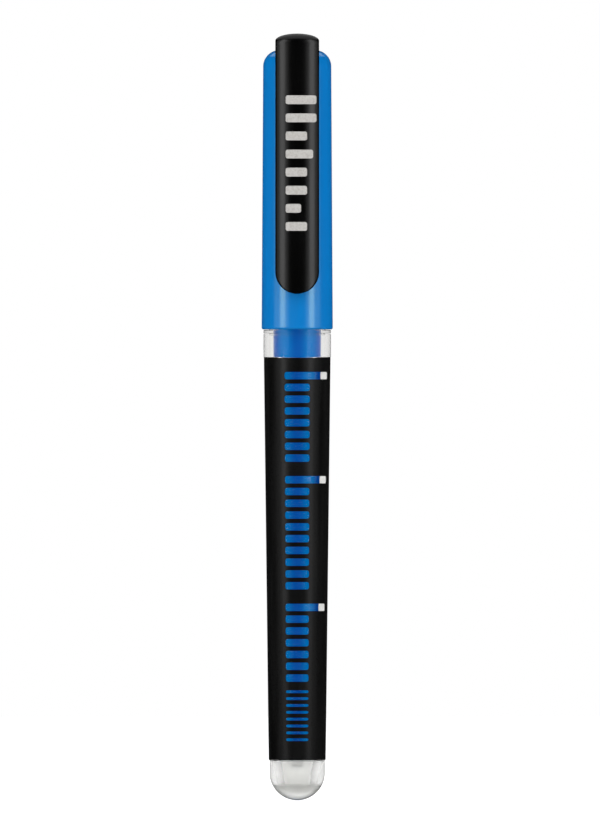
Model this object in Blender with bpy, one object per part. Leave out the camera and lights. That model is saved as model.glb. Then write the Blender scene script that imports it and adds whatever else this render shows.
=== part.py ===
"""Free-ink brush marker with a pull-off cap and a spring clip, standing on its round tail.

The pen's axis is Z: the tail's lowest point is the origin, the nib points up inside the cap, and
the clip is on the -Y side. Every size below is in millimetres and every mesh is in metres.
"""

import math

import bmesh
import bpy
from mathutils import Matrix, Vector

MM = 0.001
ROUND = 40  # facets round the outer pieces
FINE = 32  # facets round the pieces inside
SMALL = 24  # facets round the wick and the nib
SMOOTH_ANGLE = math.radians(35)

# Heights along the axis, from the tail's lowest point
CROWN_TOP = 140.0
CAP_TOP = 137.1
CAP_RIM = 86.05
BARREL_TOP = 85.18
SPIGOT_LOW = 84.95
LABEL_TOP = 80.88
LABEL_BOTTOM = 7.4
BARREL_TAIL = 7.25
TANK_TAIL = 8.8
TANK_MOUTH = 88.0
SECTION_FRONT = 107.5
NOSE_FRONT = 118.0
NIB_TIP = 126.2
CLIP_END = 92.5

# Radii
CAP_RIM_R = 6.5
CAP_SHOULDER_R = 6.21
CAP_FILLET = 3.0
BARREL_RING_R = 6.15
BARREL_FRONT_R = 5.93
BARREL_TAIL_R = 5.05
BORE_FRONT_R = 5.2
BORE_TAIL_R = 4.3
TANK_FRONT_R = 4.4
TANK_TAIL_R = 3.86
NIB_R = 1.25
NOSE_BORE_R = 1.35
WICK_R = 0.9
LINER_BORE_R = 3.42

# Walls and fits
TANK_WALL = 0.86
FILM_WALL = 0.12
FILM_GAP = 0.05
FIT = 0.1  # fixed pieces that touch
INK_GAP = 0.06

# Clip
CLIP_HALF = 4.0
CLIP_INNER_Y = -7.3
CLIP_FRONT_Y = -9.2
CLIP_FACE_R = 6.6  # curve across the front face
CROWN_DOME = 1.31  # fall of the crown from its flat top to its edge
CROWN_FLAT = 1.0  # half width of the flat
CLIP_BEND_R = 2.0
CLIP_SPLIT = (-7.0, -7.2)  # faces of the flexure, root side and arm side
CLIP_PIVOT = (0.0, -7.1, 138.0)
NIB_PIVOT = (0.0, 0.0, NOSE_FRONT + FIT)

# Windows in the label: three ladders of bars, each led by a long bar, then a run of hairlines
BAR_TURN = 23  # degrees from the front to a short window's end
FRONT_TURNS = (-23, -21.7, -18.7, -9.5, 0, 9.5, 18.7, 21.7, 23, 31, 39, 47, 54, 59.7, 62.7, 64)
BAR_HEIGHT = 1.35
BAR_PITCH = 2.15
LADDERS = ((77.6, 8), (58.6, 10), (35.3, 7))  # height of the first bar, number of bars
HAIRLINE_HEIGHT = 0.5
HAIRLINE_PITCH = 1.25
HAIRLINES = (19.9, 8)


def lerp(z, low, high):
    """Straight-line value at height z between (height, value) pairs."""
    return low[1] + (high[1] - low[1]) * (z - low[0]) / (high[0] - low[0])


def barrel_outside(z):
    return lerp(z, (BARREL_TAIL, BARREL_TAIL_R), (LABEL_TOP, BARREL_FRONT_R))


def tank_outside(z):
    return lerp(z, (TANK_TAIL, TANK_TAIL_R), (TANK_MOUTH, TANK_FRONT_R))


def arc(centre, radius, start, end, steps):
    """Points round a centre, both ends included, with angles in degrees from the first axis."""
    turns = [math.radians(start + (end - start) * i / steps) for i in range(steps + 1)]
    return [(centre[0] + radius * math.cos(t), centre[1] + radius * math.sin(t)) for t in turns]


def material(name, colour, roughness, alpha=1.0):
    """One Principled material for each finish, made once."""
    made = bpy.data.materials.get(name)
    if made:
        return made
    made = bpy.data.materials.new(name)
    made.use_nodes = True
    shader = made.node_tree.nodes["Principled BSDF"]
    shader.inputs["Base Color"].default_value = (*colour, 1.0)
    shader.inputs["Roughness"].default_value = roughness
    shader.inputs["Alpha"].default_value = alpha
    return made


def cap_blue():
    return material("cap_blue", (0.0, 0.18, 0.53), 0.25)


def clip_black():
    return material("clip_black", (0.006, 0.006, 0.006), 0.3)


def label_black():
    return material("label_black", (0.008, 0.008, 0.008), 0.55)


def clear_plastic():
    return material("clear_plastic", (0.85, 0.86, 0.86), 0.05, 0.35)


def ink_blue():
    return material("ink_blue", (0.0, 0.09, 0.36), 0.1)


def liner_natural():
    return material("liner_natural", (0.75, 0.76, 0.76), 0.45)


def seal_rubber():
    return material("seal_rubber", (0.03, 0.03, 0.03), 0.7)


def nose_black():
    return material("nose_black", (0.01, 0.01, 0.011), 0.4)


def wick_fibre():
    return material("wick_fibre", (0.05, 0.2, 0.6), 0.8)


def nib_fibre():
    return material("nib_fibre", (0.01, 0.12, 0.5), 0.75)


def pivot(name, place, parent=None):
    """An empty on a joint's axis, which the moving pieces hang from."""
    empty = bpy.data.objects.new(name, None)
    bpy.context.scene.collection.objects.link(empty)
    empty.location = Vector(place) * MM
    if parent:
        empty.parent = parent
        empty.location -= parent.matrix_world.translation
    bpy.context.view_layer.update()
    return empty


def piece(name, bm, finish=None, parent=None):
    """An object from a bmesh in world places, with its origin moved to its parent's."""
    bmesh.ops.recalc_face_normals(bm, faces=bm.faces)
    mesh = bpy.data.meshes.new(name)
    bm.to_mesh(mesh)
    bm.free()
    obj = bpy.data.objects.new(name, mesh)
    bpy.context.scene.collection.objects.link(obj)
    if finish:
        mesh.materials.append(finish)
    if parent:
        mesh.transform(Matrix.Translation(-parent.matrix_world.translation))
        obj.parent = parent
    mesh.shade_smooth()
    mesh.set_sharp_from_angle(angle=SMOOTH_ANGLE)
    return obj


def helper(name, bm, parent=None):
    """A cutter or a guide, which the render and the build leave out."""
    obj = piece(name, bm, parent=parent)
    obj.hide_render = True
    obj.display_type = "WIRE"
    return obj


def turned_mesh(outline, facets):
    """A shape turned round Z. An outline that starts and ends on the axis is solid, else it is a ring."""
    bm = bmesh.new()
    ring = outline[0][0] > 0
    verts = [bm.verts.new((r * MM, 0, z * MM)) for r, z in outline]
    pairs = list(zip(verts, verts[1:])) + ([(verts[-1], verts[0])] if ring else [])
    edges = [bm.edges.new(pair) for pair in pairs]
    turn = {"cent": (0, 0, 0), "axis": (0, 0, 1), "angle": 2 * math.pi}
    bmesh.ops.spin(bm, geom=verts + edges, steps=facets, use_merge=True, **turn)
    bmesh.ops.remove_doubles(bm, verts=bm.verts, dist=1e-7)
    return bm


def turned(name, outline, finish, parent, facets=ROUND):
    return piece(name, turned_mesh(outline, facets), finish, parent)


def prism_mesh(outline, across, low, high):
    """A flat outline extruded along an axis: outline points are (x, y), (x, z) or (y, z)."""
    spread = {
        "Z": lambda a, b, c: (a, b, c),
        "Y": lambda a, b, c: (a, c, b),
        "X": lambda a, b, c: (c, a, b),
    }[across]
    bm = bmesh.new()
    face = bm.faces.new([bm.verts.new(Vector(spread(a, b, low)) * MM) for a, b in outline])
    made = bmesh.ops.extrude_face_region(bm, geom=[face])
    moved = [v for v in made["geom"] if isinstance(v, bmesh.types.BMVert)]
    bmesh.ops.translate(bm, verts=moved, vec=Vector(spread(0, 0, high - low)) * MM)
    return bm


def boolean(obj, operation, other):
    modifier = obj.modifiers.new(f"{operation.lower()} {other.name}", "BOOLEAN")
    modifier.operation = operation
    modifier.object = other
    modifier.solver = "EXACT"


def make_barrel_tube(parent):
    """Clear tapered tube, with a flush ring above the label's recess."""
    outline = [
        (BORE_TAIL_R, BARREL_TAIL),
        (BARREL_TAIL_R, BARREL_TAIL),
        (BARREL_FRONT_R, LABEL_TOP),
        (BARREL_RING_R, LABEL_TOP + 0.1),
        (BARREL_RING_R, BARREL_TOP),
        (BORE_FRONT_R, BARREL_TOP),
    ]
    turned("barrel_tube", outline, clear_plastic(), parent)


def window_half(height, edge):
    """Half a window's height at an edge counted from its nearer end, so that its corners are round."""
    corner = min(0.45, 0.44 * height)
    return height / 2 - corner * (1 - (0.0, 0.71, 1.0)[min(edge, 2)])


def label_windows():
    """Every window from the top down: its centre, its height and the turn where it ends."""
    short, long = FRONT_TURNS.index(BAR_TURN), len(FRONT_TURNS) - 1
    windows = []
    for top, count in LADDERS:
        windows += [(top - i * BAR_PITCH, BAR_HEIGHT, short if i else long) for i in range(count)]
    top, count = HAIRLINES
    return windows + [(top - i * HAIRLINE_PITCH, HAIRLINE_HEIGHT, short) for i in range(count)]


def make_label(parent):
    """Black film round the barrel, with windows that show how much ink is left."""
    windows = label_windows()
    back = 28
    step = (360 - FRONT_TURNS[-1] + FRONT_TURNS[0]) / back
    turns = list(FRONT_TURNS) + [FRONT_TURNS[-1] + step * i for i in range(1, back)]
    bm = bmesh.new()
    lines = []
    for j, turn in enumerate(turns):
        levels = {"top": LABEL_TOP}
        for w, (centre, height, last) in enumerate(windows):
            if j <= last:
                levels[w, "top"] = centre + window_half(height, min(j, last - j))
                levels[w, "low"] = centre - window_half(height, min(j, last - j))
        levels["low"] = LABEL_BOTTOM
        out = Vector((math.sin(math.radians(turn)), -math.cos(math.radians(turn)), 0))
        line = {}
        for key, z in levels.items():
            inner = barrel_outside(z) + FILM_GAP
            skins = (inner, inner + FILM_WALL)
            line[key] = [bm.verts.new((out * r + Vector((0, 0, z))) * MM) for r in skins]
        lines.append(line)
    for j, line in enumerate(lines):
        following = lines[(j + 1) % len(lines)]
        passing = [w for w, window in enumerate(windows) if j < window[2]]
        marks = ["top"] + [(w, side) for w in passing for side in ("top", "low")] + ["low"]
        for upper, lower in zip(marks[0::2], marks[1::2]):
            for skin in (0, 1):
                near = [line[key][skin] for key in between(line, upper, lower)]
                far = [following[key][skin] for key in between(following, upper, lower)]
                bm.faces.new(near + far[::-1])
        for key in marks:
            bm.faces.new((*line[key], *reversed(following[key])))
    for w, window in enumerate(windows):
        for j in (0, window[2]):
            bm.faces.new((*lines[j][w, "top"], *reversed(lines[j][w, "low"])))
    piece("label_sleeve", bm, label_black(), parent)


def between(line, upper, lower):
    """The marks down one edge of the film, from an upper one to a lower one."""
    keys = list(line)
    return keys[keys.index(upper) : keys.index(lower) + 1]


def make_tail_plug(parent):
    """Clear round end with a tapered hollow, and a spigot that fits inside the barrel's tail."""
    floor, floor_r, corner = 3.0, 2.2, 0.6
    mouth_r, spigot_r, spigot_top = 3.25, BORE_TAIL_R - FIT, 8.5
    shoulder = BARREL_TAIL - FIT
    outline = arc((0, BARREL_TAIL_R), BARREL_TAIL_R, -90, 0, 9)
    outline += [(BARREL_TAIL_R, shoulder), (spigot_r, shoulder)]
    outline += [(spigot_r, spigot_top), (mouth_r, spigot_top)]
    outline += arc((floor_r - corner, floor + corner), corner, 0, -90, 3)
    outline += [(0, floor)]
    outline[0] = (0, 0)
    turned("tail_plug", outline, clear_plastic(), parent)


def make_ink_tank(parent):
    """Clear tube for the ink, closed at the tail, with a locating pin that shows in the round end."""
    pin_r, pin_end, corner = 1.4, 6.0, 0.8
    wall = TANK_WALL
    outline = [
        (0, pin_end),
        (pin_r, pin_end),
        (pin_r, TANK_TAIL),
        *arc((TANK_TAIL_R - corner, TANK_TAIL + corner), corner, -90, 0, 3),
        (TANK_FRONT_R, TANK_MOUTH),
        (TANK_FRONT_R - wall, TANK_MOUTH),
        (TANK_TAIL_R - wall, TANK_TAIL + wall),
        (0, TANK_TAIL + wall),
    ]
    turned("ink_tank", outline, clear_plastic(), parent, FINE)


def make_ink(parent):
    """The ink itself, filling the tank up to the collector, with a hole where the wick dips in."""
    low, high = TANK_TAIL + TANK_WALL + INK_GAP, 86.2
    wick_hole_r, wick_hole_floor = 1.1, 78.0
    outline = [
        (0, low),
        (tank_outside(low) - TANK_WALL - INK_GAP, low),
        (tank_outside(high) - TANK_WALL - INK_GAP, high),
        (wick_hole_r, high),
        (wick_hole_r, wick_hole_floor),
        (0, wick_hole_floor),
    ]
    turned("ink_column", outline, ink_blue(), parent, FINE)


def make_tank_seal(parent):
    """Soft ring between the tank's mouth and the section's shoulder."""
    outline = [(3.54, 88.1), (4.36, 88.1), (4.36, 88.9), (3.54, 88.9)]
    turned("tank_seal", outline, seal_rubber(), parent, FINE)


def make_section(parent):
    """Clear grip: a spigot in the barrel, a flange on its edge, a snap bead and a tapered front."""
    flange_low, flange_top = 85.33, 85.95
    socket_r, socket_floor = 4.5, 89.0
    chamber_r, chamber_top = 3.9, 103.8
    front_bore_r = 3.3
    outline = [
        (socket_r, SPIGOT_LOW),
        (BORE_FRONT_R - FIT, SPIGOT_LOW),
        (BORE_FRONT_R - FIT, flange_low),
        (BARREL_RING_R, flange_low),
        (BARREL_RING_R, flange_top),
        (5.15, flange_top),
        (5.15, 88.8),
        *arc((5.0, 89.4), 0.28, -50, 50, 3),
        (5.12, 90.0),
        (4.35, 106.2),
        (4.1, 107.2),
        (3.8, SECTION_FRONT),
        (front_bore_r, SECTION_FRONT),
        (front_bore_r, chamber_top),
        (chamber_r, chamber_top - 0.6),
        (chamber_r, socket_floor),
        (socket_r, socket_floor),
    ]
    turned("section_body", outline, clear_plastic(), parent)


def make_collector(parent):
    """Finned regulator that holds spare ink between its fins; a slit lets air and ink past them."""
    plug_r, plug_low, plug_top = 3.34, 86.4, 88.95
    core_r, fin_r, bore_r, top = 1.7, 3.7, 1.05, 103.0
    fins, fin_wall, first_fin = 11, 0.5, 90.2
    pitch = (top - fin_wall - first_fin) / (fins - 1)
    outline = [(bore_r, plug_low), (plug_r, plug_low), (plug_r, plug_top), (core_r, plug_top)]
    for i in range(fins):
        low = first_fin + i * pitch
        outline += [(core_r, low), (fin_r, low), (fin_r, low + fin_wall)]
        outline += [(core_r, low + fin_wall)] if i < fins - 1 else []
    outline += [(bore_r, top)]
    collector = turned("collector", outline, wick_fibre(), parent, 28)
    slit_half = 0.3
    square = [(-slit_half, 2.1), (slit_half, 2.1), (slit_half, 5.0), (-slit_half, 5.0)]
    slit = helper("collector_slit", prism_mesh(square, "Z", plug_top + 0.3, top + 1), parent)
    boolean(collector, "DIFFERENCE", slit)


def make_wick(parent):
    """Fibre rod that carries ink from the tank through the collector to the nib."""
    outline = [(0, 78.4), (WICK_R, 78.4), (WICK_R, 109.8), (0, 109.8)]
    turned("feed_wick", outline, wick_fibre(), parent, SMALL)


def make_nose(parent):
    """Black nose that plugs the section, seals against the cap's liner and grips the nib."""
    spigot_r, spigot_low, land_r = 3.2, 104.0, 3.3
    collar = SECTION_FRONT + FIT
    outline = [
        (NOSE_BORE_R, spigot_low),
        (spigot_r, spigot_low),
        (spigot_r, collar),
        (3.95, collar),
        (3.95, 108.3),
        (land_r, 108.8),
        (land_r, 112.4),
        *arc((2.6, 112.4), 0.7, 0, 60, 2)[1:],
        (1.95, 117.4),
        (1.75, NOSE_FRONT),
        (NOSE_BORE_R, NOSE_FRONT),
    ]
    turned("nose_cone", outline, nose_black(), parent, FINE)


def make_nib(parent, nib_pivot):
    """Fibre brush nib. Its root is gripped by the nose; its tip bends on a hinge at the nose's mouth."""
    root_low = 110.0
    outline = [(0, root_low), (NIB_R - 0.2, root_low), (NIB_R, root_low + 0.2)]
    outline += [(NIB_R, NOSE_FRONT), (0, NOSE_FRONT)]
    turned("brush_nib_root", outline, nib_fibre(), parent, SMALL)
    seat, edge = NOSE_FRONT + 0.12, NOSE_FRONT + 0.42
    tip_r, taper = 0.16, 7
    outline = [(0, seat), (NIB_R, edge), (NIB_R + 0.08, edge + 0.9)]
    height = NIB_TIP - tip_r - (edge + 0.9)
    for i in range(1, taper + 1):
        share = i / taper
        outline.append((tip_r + (NIB_R + 0.08 - tip_r) * (1 - share**1.25), edge + 0.9 + height * share))
    outline += [(0, NIB_TIP)]
    turned("brush_nib_tip", outline, nib_fibre(), nib_pivot, SMALL)


def make_cap_shell(parent):
    """Blue cap with drafted sides, a rounded shoulder and a hole for the crown's stem."""
    wall_top, stem_hole_r, rim_round = 135.6, 2.55, 0.35
    fillet_centre = (CAP_SHOULDER_R - CAP_FILLET, CAP_TOP - CAP_FILLET)
    outline = [
        (5.62, CAP_RIM),
        *arc((CAP_RIM_R - rim_round, CAP_RIM + rim_round), rim_round, -90, 0, 2),
        *arc(fillet_centre, CAP_FILLET, 0, 90, 7),
        (stem_hole_r, CAP_TOP),
        (stem_hole_r, wall_top),
        *arc((4.3, wall_top - 0.8), 0.8, 90, 0, 2),
        (5.4, 92.0),
        (5.45, 86.6),
    ]
    turned("cap_shell", outline, cap_blue(), parent)


def make_liner(parent):
    """Pale inner cap that seals round the nose, with a socket above for the crown's stem."""
    web_low, web_top, top = 131.4, 132.2, 135.3
    wall_r, socket_r, flange_r = 4.1, 2.78, 4.95
    outline = [
        (0, web_low),
        (LINER_BORE_R, web_low),
        (LINER_BORE_R, 109.4),
        (LINER_BORE_R + 0.25, 109.0),
        (wall_r, 109.0),
        (wall_r, 133.4),
        (flange_r, 133.4),
        (flange_r, 134.5),
        (wall_r, top),
        (socket_r, top),
        (socket_r, web_top),
        (0, web_top),
    ]
    turned("inner_cap", outline, liner_natural(), parent, FINE)


def crown_dome():
    """The crown's outline from its edge up to the flat: part of an ellipse, as distance and height."""
    turns = [math.radians(70 * i / 6) for i in range(7)]
    rise = [(CLIP_HALF * math.cos(t), CROWN_TOP - CROWN_DOME * (1 - math.sin(t))) for t in turns]
    return rise + [(CROWN_FLAT, CROWN_TOP)]


def clip_guides(name, parent, side):
    """The front and side outlines that the crown and the arm are both cut to."""
    round_top = crown_dome()
    front = round_top + [(-x, z) for x, z in reversed(round_top)]
    front += arc((0, CLIP_END + CLIP_HALF), CLIP_HALF, 180, 360, 14)
    return (
        helper(f"{name}_front", prism_mesh(front, "Y", -12, 6), parent),
        helper(f"{name}_side", prism_mesh(side, "X", -6, 6), parent),
    )


def make_clip_root(parent):
    """Crown of the clip moulding: a tongue-shaped block on top of the cap, and its barbed stem."""
    under, front = CAP_TOP + 0.2, CLIP_SPLIT[0]
    haunch = 1.4
    back = 5.0
    side = crown_dome()[::-1]
    side += [(back, CROWN_TOP - CROWN_DOME), (back, under), (front + 2 * haunch, under)]
    side += [(front + haunch, under - 0.25 * haunch), (front, under - haunch), (front, CROWN_TOP)]
    plan = [(CLIP_HALF, front), *arc((0, 0), CLIP_HALF, 0, 180, 16), (-CLIP_HALF, front)]
    crown = piece(
        "clip_root", prism_mesh(plan, "Z", under - haunch - 0.1, CROWN_TOP + 0.1), clip_black(), parent
    )
    for guide in clip_guides("crown_guide", parent, side):
        boolean(crown, "INTERSECT", guide)
    stem_r, stem_end, barb_r = 2.45, 132.6, 2.68
    stem = [
        (0, stem_end),
        (stem_r - 0.3, stem_end),
        (barb_r, stem_end + 0.7),
        (stem_r, stem_end + 1.0),
        (stem_r, CAP_TOP + 1.2),
        (0, CAP_TOP + 1.2),
    ]
    boolean(crown, "UNION", helper("crown_stem", turned_mesh(stem, FINE), parent))


def make_clip_arm(clip_pivot):
    """Springing arm of the clip: curved front, flat back, a rounded end and a bump that meets the cap."""
    split, bend = CLIP_SPLIT[1], CLIP_BEND_R
    face_centre = (0, CLIP_FRONT_Y + CLIP_FACE_R)
    spread = math.degrees(math.asin(CLIP_HALF / CLIP_FACE_R))
    section = [(-CLIP_HALF, CLIP_INNER_Y + 1.2), (CLIP_HALF, CLIP_INNER_Y + 1.2)]
    section += arc(face_centre, CLIP_FACE_R, -90 + spread, -90 - spread, 10)
    arm = piece(
        "clip_arm", prism_mesh(section, "Z", CLIP_END - 0.2, CROWN_TOP + 0.2), clip_black(), clip_pivot
    )
    side = arc((split, CROWN_TOP - bend), bend, 180, 90, 5)
    side += [
        (split, CAP_TOP - 1.2),
        (CLIP_INNER_Y, CAP_TOP - 1.6),
        (CLIP_INNER_Y, 98.6),
        *arc((CLIP_INNER_Y - 1.1, 95.6), 1.8, 62, -62, 5),
        (CLIP_INNER_Y - 0.9, CLIP_END - 0.1),
        (CLIP_FRONT_Y - 0.1, CLIP_END - 0.1),
    ]
    side[0] = (CLIP_FRONT_Y - 0.1, CROWN_TOP - bend)
    for guide in clip_guides("arm_guide", clip_pivot, side):
        boolean(arm, "INTERSECT", guide)


def main():
    for obj in list(bpy.data.objects):
        bpy.data.objects.remove(obj)
    pen = pivot("marker", (0, 0, 0))
    cap = pivot("cap_slide", (0, 0, CAP_RIM), pen)
    clip = pivot("clip_flexure", CLIP_PIVOT, cap)
    nib = pivot("nib_flexure", NIB_PIVOT, pen)
    make_barrel_tube(pen)
    make_label(pen)
    make_tail_plug(pen)
    make_ink_tank(pen)
    make_ink(pen)
    make_tank_seal(pen)
    make_section(pen)
    make_collector(pen)
    make_wick(pen)
    make_nose(pen)
    make_nib(pen, nib)
    make_cap_shell(cap)
    make_liner(cap)
    make_clip_root(cap)
    make_clip_arm(clip)


main()
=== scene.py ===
# %% [markdown]
# # A capped brush marker, from its clip to its ink
#
# The marker is a clear tapered barrel with a black windowed label, a tank of blue ink inside, a fibre
# brush nib, and a blue cap with a black spring clip. The mechanical model is loaded first and stays
# as it is. Each piece of it is then made again with finer curves and a proper finish.

# %% Load the frame
import math

import bmesh
import bpy
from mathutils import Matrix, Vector


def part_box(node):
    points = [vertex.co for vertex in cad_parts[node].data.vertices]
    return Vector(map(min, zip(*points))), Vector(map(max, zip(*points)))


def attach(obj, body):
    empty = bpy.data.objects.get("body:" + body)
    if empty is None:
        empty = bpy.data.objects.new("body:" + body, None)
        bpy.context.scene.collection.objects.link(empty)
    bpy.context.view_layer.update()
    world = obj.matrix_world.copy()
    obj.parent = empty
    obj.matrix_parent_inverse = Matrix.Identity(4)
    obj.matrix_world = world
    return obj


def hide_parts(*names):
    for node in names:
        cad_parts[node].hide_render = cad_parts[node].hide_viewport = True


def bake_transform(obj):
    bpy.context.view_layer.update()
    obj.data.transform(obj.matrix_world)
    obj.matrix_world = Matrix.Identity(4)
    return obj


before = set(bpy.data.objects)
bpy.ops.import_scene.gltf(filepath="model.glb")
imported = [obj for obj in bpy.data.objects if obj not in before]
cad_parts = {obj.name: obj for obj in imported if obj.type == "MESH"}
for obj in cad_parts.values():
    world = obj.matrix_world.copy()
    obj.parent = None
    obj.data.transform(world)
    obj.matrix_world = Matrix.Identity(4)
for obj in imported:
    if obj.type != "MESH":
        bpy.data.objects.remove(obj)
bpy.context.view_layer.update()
MM = 0.001

# %% [markdown]
# ## Sizes
#
# The main heights and radii are read from the mechanical model, so that these don't have to be adjusted
# by eye; the other sizes are given as numbers further on. The pen's axis is Z, the tail's lowest point
# is zero, and the clip faces -Y. All the numbers in this file are millimetres until a mesh is made.


# %% Read the sizes
def low(node):
    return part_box(node)[0].z / MM


def top(node):
    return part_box(node)[1].z / MM


def radius(node):
    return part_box(node)[1].x / MM


crown_top = top("clip_arm")
clip_end = low("clip_arm")
clip_half = radius("clip_arm")
clip_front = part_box("clip_arm")[0].y / MM
cap_rim, cap_top = low("cap_shell"), top("cap_shell")
rim_radius = radius("cap_shell")
barrel_tail, barrel_top = low("barrel_tube"), top("barrel_tube")
label_bottom, label_top = low("label_sleeve"), top("label_sleeve")
ring_radius = radius("barrel_tube")
tail_radius = radius("tail_plug")
tank_radius, tank_top = radius("ink_tank"), top("ink_tank")
print(f"pen {crown_top:.1f} mm long, cap {2 * rim_radius:.1f} mm across, clip {2 * clip_half:.1f} mm wide")

# %% [markdown]
# ## Nodes and colours
#
# A plastic's colour is usually quoted as an sRGB hex value, but shaders work in linear light. One
# function converts it. Another adds a shader node with its settings and its links in one go, which
# keeps each material short enough to read as a recipe. It takes hex colours as they are, and when an
# input is given another node, it links that node's first output in use.


# %% Node helpers
def linear(code):
    """An sRGB hex colour as linear red, green, blue and alpha."""
    parts = [int(code[i : i + 2], 16) / 255 for i in (1, 3, 5)]
    return (*((c / 12.92 if c <= 0.04045 else ((c + 0.055) / 1.055) ** 2.4) for c in parts), 1.0)


def add(tree, kind, inputs, **settings):
    """Adds a node. Each input gets a number, a hex colour, another node or one of its sockets."""
    node = tree.nodes.new("ShaderNode" + kind)
    for key, value in settings.items():
        setattr(node, key, value)
    for key, value in inputs.items():
        if isinstance(value, bpy.types.Node):
            value = next(socket for socket in value.outputs if socket.enabled)
        if isinstance(value, bpy.types.NodeSocket):
            tree.links.new(value, node.inputs[key])
        else:
            node.inputs[key].default_value = linear(value) if isinstance(value, str) else value
    return node


def new_material(name):
    """An empty material: its node tree, and a socket with each point's place in metres."""
    made = bpy.data.materials.new(name)
    made.use_nodes = True
    made.node_tree.nodes.clear()
    place = add(made.node_tree, "TexCoord", {}).outputs["Object"]
    return made, made.node_tree, place


# %% [markdown]
# ## Patterns in real sizes
#
# A noise texture's scale is how many waves it has per metre, so a pattern of 0.8 mm needs a scale of
# 1000 / 0.8. Stretching the coordinates first turns round grains into streaks, which is how flow lines,
# drawn fibres and wiping scratches are all made. Most of a noise lies between 0.3 and 0.7, so that
# middle part is what is then mapped to the small range of roughness or colour of the real surface.


# %% Pattern helper
MIDDLE = {"From Min": 0.3, "From Max": 0.7}


def grain(tree, place, size, stretch=(1, 1, 1), detail=3.0, roughness=0.5):
    """Noise with waves of that size in millimetres, drawn out along the axes by stretch."""
    squeezed = add(tree, "Mapping", {"Vector": place, "Scale": [1 / s for s in stretch]})
    waves = {"Scale": 1 / (size * MM), "Detail": detail, "Roughness": roughness}
    return add(tree, "TexNoise", {"Vector": squeezed, **waves})


# %% [markdown]
# ## Polished ABS
#
# The cap and the clip are injection-moulded ABS from a polished tool. The skin is glossy but never a
# perfect mirror: it carries a faint orange peel from the tool's polish, long flow streaks from the
# melt, and hairline scuffs from pockets and pencil cases. All three go in the bump and roughness, and
# the pigment itself varies by only a few per cent.


# %% Polished ABS for the cap and the clip
def polished_abs(name, colour, shade, roughness, specular, tint):
    made, tree, place = new_material(name)
    flow = grain(tree, place, 2.2, (1, 1, 9))
    peel = grain(tree, place, 0.9, detail=2.0)
    scuff = grain(tree, place, 0.12, (1, 14, 4), detail=5.0, roughness=0.7)
    streaks = {"Value": flow, **MIDDLE}
    pigment = add(tree, "Mix", {0: add(tree, "MapRange", streaks), 6: colour, 7: shade}, data_type="RGBA")
    gloss = add(tree, "MapRange", {**streaks, "To Min": roughness * 0.8, "To Max": roughness * 1.25})
    hairlines = add(tree, "MapRange", {"Value": scuff, "From Min": 0.6, "From Max": 0.8, "To Max": 0.1})
    ripple = add(tree, "Bump", {"Height": peel, "Distance": 0.004 * MM})
    scratched = {"Height": scuff, "Distance": 0.002 * MM, "Strength": 0.5, "Normal": ripple}
    shader = add(
        tree,
        "BsdfPrincipled",
        {
            "Base Color": pigment,
            "Roughness": add(tree, "Math", {0: gloss, 1: hairlines}, operation="ADD"),
            "IOR": 1.53,
            "Specular IOR Level": specular,
            "Specular Tint": tint,
            "Normal": add(tree, "Bump", scratched),
        },
    )
    add(tree, "OutputMaterial", {"Surface": shader})
    return made


cap_plastic = polished_abs("polished_abs_blue", "#0077C4", "#0073BF", 0.19, 0.66, "#E0FFD8")
clip_plastic = polished_abs("polished_abs_black", "#020202", "#040404", 0.2, 0.24, "#FFFFFF")
print("made", cap_plastic.name, "and", clip_plastic.name)

# %% [markdown]
# ## Clear polystyrene
#
# The barrel, the tank, the grip and the round tail are clear polystyrene, whose refractive index of
# 1.59 bends light strongly: it magnifies the ink and turns the wall's edges into mirrors. Light has to
# reach the ink through it, and a path tracer finds that hard through bending glass. So rays that look
# for a lamp pass straight through a transparent shader, and every other ray is refracted properly.
#
# Each clear surface also mirrors a little of the bright room, and four surfaces in a row would fog the
# ink, so the specular tint is dark. Mirroring at flat angles stays, since the tint doesn't act there.
# The volume absorbs a little light along the way, which gives thick plastic its grey body.
#
# The tail is polished outside and blasted inside and at its tip, which makes it milky with clear
# flanks. Its roughness and colour depend on the distance from the axis and on the height.


# %% Clear polystyrene
def clear_polystyrene(name, clear, tint, body, blasted=None):
    """Clear plastic. blasted is a rough hollow's radius and its floor's height, in millimetres."""
    made, tree, place = new_material(name)
    swirl = grain(tree, place, 3.0, (1, 1, 5))
    rub = grain(tree, place, 0.15, (9, 9, 1), detail=4.0, roughness=0.65)
    rubbed = {"Value": rub, "From Min": 0.5, "From Max": 0.8, "To Min": 0.01, "To Max": 0.04}
    gloss, colour = add(tree, "MapRange", rubbed), "#FCFCFB"
    if blasted:
        hollow, tip = blasted_places(tree, place, *blasted)
        rough = add(tree, "Math", {0: hollow, 1: tip}, operation="MAXIMUM")
        matt = add(tree, "MapRange", {"Value": rub, **MIDDLE, "To Min": 0.4, "To Max": 0.5})
        gloss = add(tree, "Mix", {0: rough, 2: gloss, 3: matt}, data_type="FLOAT")
        milky = add(tree, "Mix", {0: hollow, 6: colour, 7: "#DCDCD9"}, data_type="RGBA")
        colour = add(tree, "Mix", {0: tip, 6: milky, 7: "#CECECA"}, data_type="RGBA")
    shader = add(
        tree,
        "BsdfPrincipled",
        {
            "Base Color": colour,
            "Roughness": gloss,
            "IOR": 1.59,
            "Specular Tint": tint,
            "Transmission Weight": clear,
            "Normal": add(tree, "Bump", {"Height": swirl, "Distance": 0.003 * MM}),
        },
    )
    lamp_ray = add(tree, "LightPath", {}).outputs["Is Shadow Ray"]
    straight = add(tree, "BsdfTransparent", {"Color": "#FAFAF9"})
    mixed = add(tree, "MixShader", {0: lamp_ray, 1: shader, 2: straight})
    smoke = add(tree, "VolumeAbsorption", {"Color": "#BABAB9", "Density": body})
    add(tree, "OutputMaterial", {"Surface": mixed, "Volume": smoke})
    return made


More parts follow.
